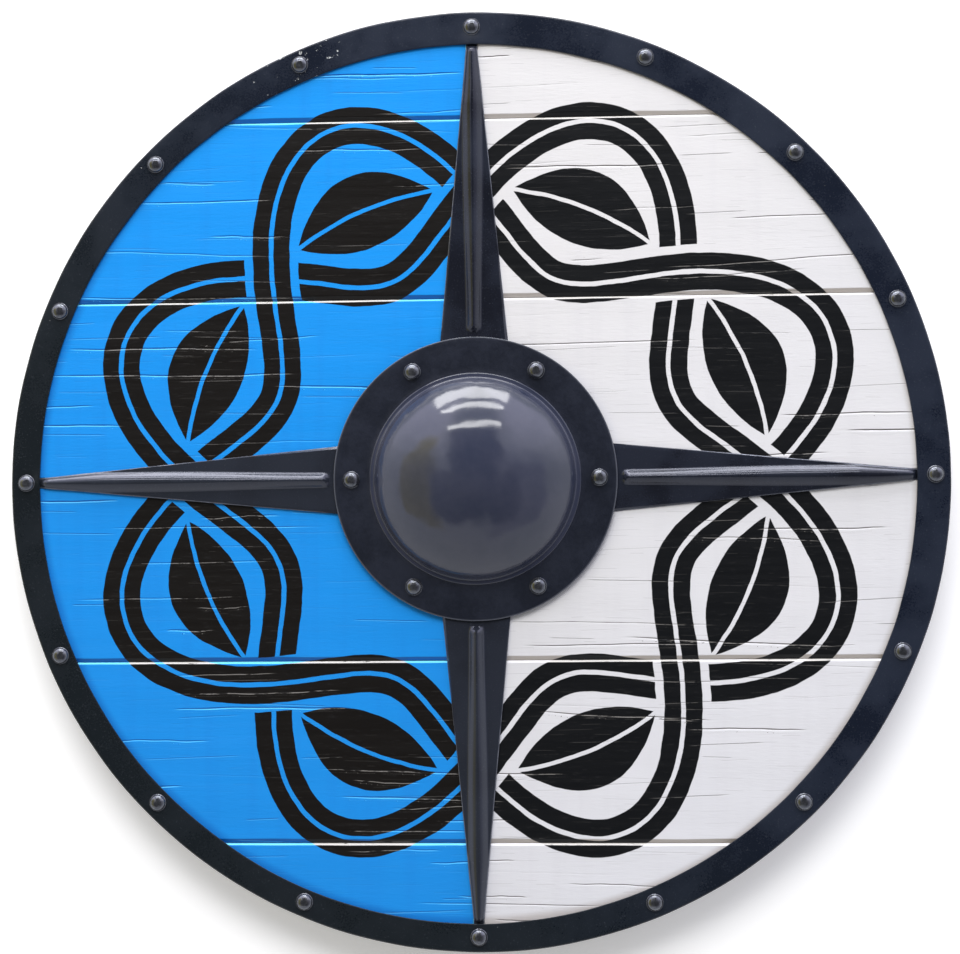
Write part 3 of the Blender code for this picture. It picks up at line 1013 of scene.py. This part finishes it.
def make_rivet(node, paint, dice):
    """Each head is turned round, flattened on top, then planished by a few small flats of its own."""
    centre, low, high = rivet_place(node)
    bm = turned(rivet_profile(low, high), rivet_steps)
    blows = [(dice.uniform(0, 2 * math.pi), dice.uniform(0.0, 0.12), 0.93)]
    blows += [(dice.uniform(0, 2 * math.pi), dice.uniform(0.4, 0.8), 0.98) for _ in range(3)]
    seat = high - head_height
    heart = Vector((0.0, 0.0, seat))
    for vert in bm.verts:
        if vert.co.z > seat + 0.0006:
            for angle, lean, share in blows:
                way = on_circle(math.sin(lean), angle, math.cos(lean))
                reach = way.dot(vert.co - heart)
                limit = (head_height + (head_radius - head_height) * math.sin(lean)) * share
                if reach > limit:
                    vert.co -= way * (reach - limit)
    bmesh.ops.translate(bm, verts=bm.verts, vec=centre)
    return piece(f"domed_{node}", bm, paint, [node], 28)


# Grip

def grip_point(along, around):
    """A rounded bar, flat against the board, thinner at the riveted tabs and rounded at its ends."""
    x = (2 * along - 1) * grip_end
    tab = smoothstep(handle_reach, tab_reach, abs(x))
    depth = grip_depth + (tab_depth - grip_depth) * tab
    round_end = math.sqrt(max(1 - max((abs(x) - grip_end + 0.008) / 0.008, 0.0) ** 2, 0.0))
    half_width = grip_half_width * (0.72 + 0.28 * round_end)
    angle = 2 * math.pi * around
    squareness = 0.55
    across = math.copysign(abs(math.cos(angle)) ** squareness, math.cos(angle))
    back = math.copysign(abs(math.sin(angle)) ** squareness, math.sin(angle))
    flat_back = smoothstep(0.6, 0.9, back)
    z = grip_depth - depth / 2 - depth / 2 * back
    return Vector((x, half_width * across * (1 - 0.04 * flat_back), z))


def make_grip(wood, cutters):
    bar = wrapped(grip_steps, grip_steps_around, grip_point)
    return piece("wooden_grip", bar, wood, ["grip"], 40, cutters)


# Floor, light and camera

def make_floor():
    bm = bmesh.new()
    bmesh.ops.create_grid(bm, x_segments=1, y_segments=1, size=floor_reach)
    finish = Finish("pale_floor", Roughness=0.9, Specular_IOR_Level=0.1)
    finish.colour(finish.blend(finish.mottle(0.5), (0.95, 0.95, 0.953), (0.965, 0.965, 0.965)))
    finish.shader.inputs["Emission Color"].default_value = (1.0, 1.0, 1.0, 1.0)
    finish.shader.inputs["Emission Strength"].default_value = floor_glow
    mesh_object("floor", bm, finish.material, 30)


def make_lamp(name, way, distance, width, height, power):
    """A soft rectangular lamp in this direction, facing the shield."""
    lamp = bpy.data.lights.new(name, "AREA")
    lamp.shape = "RECTANGLE"
    lamp.size = width
    lamp.size_y = height
    lamp.energy = power
    place = bpy.data.objects.new(name, lamp)
    place.location = Vector(way).normalized() * distance
    place.rotation_euler = Vector(way).to_track_quat("Z", "Y").to_euler()
    bpy.context.collection.objects.link(place)
    return place


def from_vertical(lean, swing=0.0):
    """A direction that leans by this many degrees from straight up towards the shield's top."""
    lean = math.radians(lean)
    swing = math.radians(swing)
    return (math.sin(lean) * math.sin(swing), math.sin(lean) * math.cos(swing), math.cos(lean))


def make_room():
    """Soft light from all round, with darker patches overhead for the glossy dome to mirror."""
    world = bpy.data.worlds.new("soft_room")
    bpy.context.scene.world = world
    world.use_nodes = True
    tree = world.node_tree
    background = tree.nodes["Background"]
    direction = tree.nodes.new("ShaderNodeTexCoord").outputs["Generated"]
    split = tree.nodes.new("ShaderNodeSeparateXYZ")
    tree.links.new(direction, split.inputs[0])
    x, y, z = [Field(tree, output) for output in split.outputs]
    ragged = tree.nodes.new("ShaderNodeTexNoise")
    ragged.inputs["Scale"].default_value = 3.5
    ragged.inputs["Detail"].default_value = 3.0
    tree.links.new(direction, ragged.inputs["Vector"])
    waver = Field(tree, ragged.outputs[0]) - 0.5
    up = z.either(0.05)
    aside = x / up + waver * 0.5
    ahead = y / up + waver * 0.7
    above = z.rise(0.0, 0.1)

    def patch(left, right, low, high, softness):
        across = (aside - (left + right) / 2).size().inside((right - left) / 2, softness)
        along = (ahead - (low + high) / 2).size().inside((high - low) / 2, softness)
        return across.both(along).both(above)

    dark_patch = patch(-0.44, 0.40, -0.75, 1.05, 0.17).either(patch(-0.90, 0.84, -0.80, 0.15, 0.26) * 0.85)
    cool_patch = patch(0.3, 1.9, -1.25, 0.5, 0.35)
    warm_patch = patch(-2.7, -0.85, -1.10, 0.90, 0.20)
    haze = y.rise(0.1, 0.7).both(aside.size().rise(0.25, 0.95)).both(above)
    glow = (z.rise(-0.1, 0.9, 1.15, 0.72) + haze * 1.7) * dark_patch.rise(0.0, 1.0, 1.0, 0.12)
    glow = glow * cool_patch.rise(0.0, 1.0, 1.0, 0.68) * warm_patch.rise(0.0, 1.0, 1.0, 0.68)
    plug(tree, glow * 0.95, background.inputs["Strength"])
    colour = (0.93, 0.95, 1.0, 1.0)
    lavender = (0.84, 0.83, 1.0, 1.0)
    olive = (1.0, 0.86, 0.22, 1.0)
    for share, tint in ((haze, lavender), (cool_patch, lavender), (warm_patch, olive)):
        mix = tree.nodes.new("ShaderNodeMix")
        mix.data_type = "RGBA"
        plug(tree, share, mix.inputs[0])
        plug(tree, colour, mix.inputs[6])
        mix.inputs[7].default_value = tint
        colour = Field(tree, mix.outputs[2])
    plug(tree, colour, background.inputs["Color"])


def make_light():
    make_room()
    window = make_lamp("window", from_vertical(38), 4.5, 2.6, 1.6, 109.0)
    window.visible_glossy = False
    make_lamp("strip_low", from_vertical(81, -4), 2.2, 1.95, 0.42, 22.0)
    make_lamp("strip_middle", from_vertical(68, -4), 2.2, 1.75, 0.18, 10.5)
    make_lamp("strip_high", from_vertical(49, -4), 2.1, 1.60, 0.18, 9.0)


def make_camera():
    view = Matrix.Rotation(camera_tilt, 3, "X") @ Matrix.Rotation(camera_swing, 3, "Y")
    view = (view @ Matrix.Rotation(camera_roll, 3, "Z")).transposed()
    camera = bpy.data.cameras.new("camera")
    camera.lens = camera_lens
    camera.clip_end = 20.0
    place = bpy.data.objects.new("camera", camera)
    spot = view @ (Vector((0.0, 0.0, camera_distance)) - camera_aside) + Vector((0.0, 0.0, rim_front))
    place.matrix_world = Matrix.Translation(spot) @ view.to_4x4()
    bpy.context.collection.objects.link(place)
    bpy.context.scene.camera = place


def make_shield():
    dice = random.Random(7)
    paint = painted_wood()
    rim_paint = iron_paint(
        "rim_steel",
        dark=(0.006, 0.009, 0.018),
        light=(0.015, 0.020, 0.034),
        left=(0.0075, 0.0105, 0.0110),
        gloss=(0.24, 0.36),
        roughcast=0.00012,
        chips=rim_chips,
        Specular_IOR_Level=0.35,
    )
    arm_paint = iron_paint(
        "arm_steel",
        dark=(0.007, 0.008, 0.013),
        light=(0.015, 0.018, 0.028),
        left=(0.024, 0.028, 0.037),
        gloss=(0.12, 0.20),
        roughcast=0.00004,
        chips=arm_chips,
        Specular_IOR_Level=0.58,
        Specular_Tint=(0.84, 0.86, 1.0, 1.0),
    )
    rivet_steel = rivet_paint()
    rivet_holes = rivet_hole_cutter(rivet_steel)
    board_openings = board_opening_cutter(paint)
    cracks = scattered_cracks(dice) + notable_cracks
    for number in range(1, 7):
        make_plank(number, paint, cracks, (board_openings, rivet_holes))
    make_rim(rim_paint, (rivet_holes,))
    for name, turn in arm_turns.items():
        make_arm(name, turn, arm_paint, (rivet_holes,))
    make_boss(boss_paint(), (rivet_holes,))
    for node in rim_rivet_nodes + boss_rivet_nodes:
        make_rivet(node, rivet_steel, dice)
    make_grip(grip_wood(), (rivet_holes,))
    for cutter in (rivet_holes, board_openings):
        bpy.data.objects.remove(cutter, do_unlink=True)


make_camera()
make_shield()
make_floor()
make_light()
bpy.context.scene.view_settings.view_transform = "Standard"
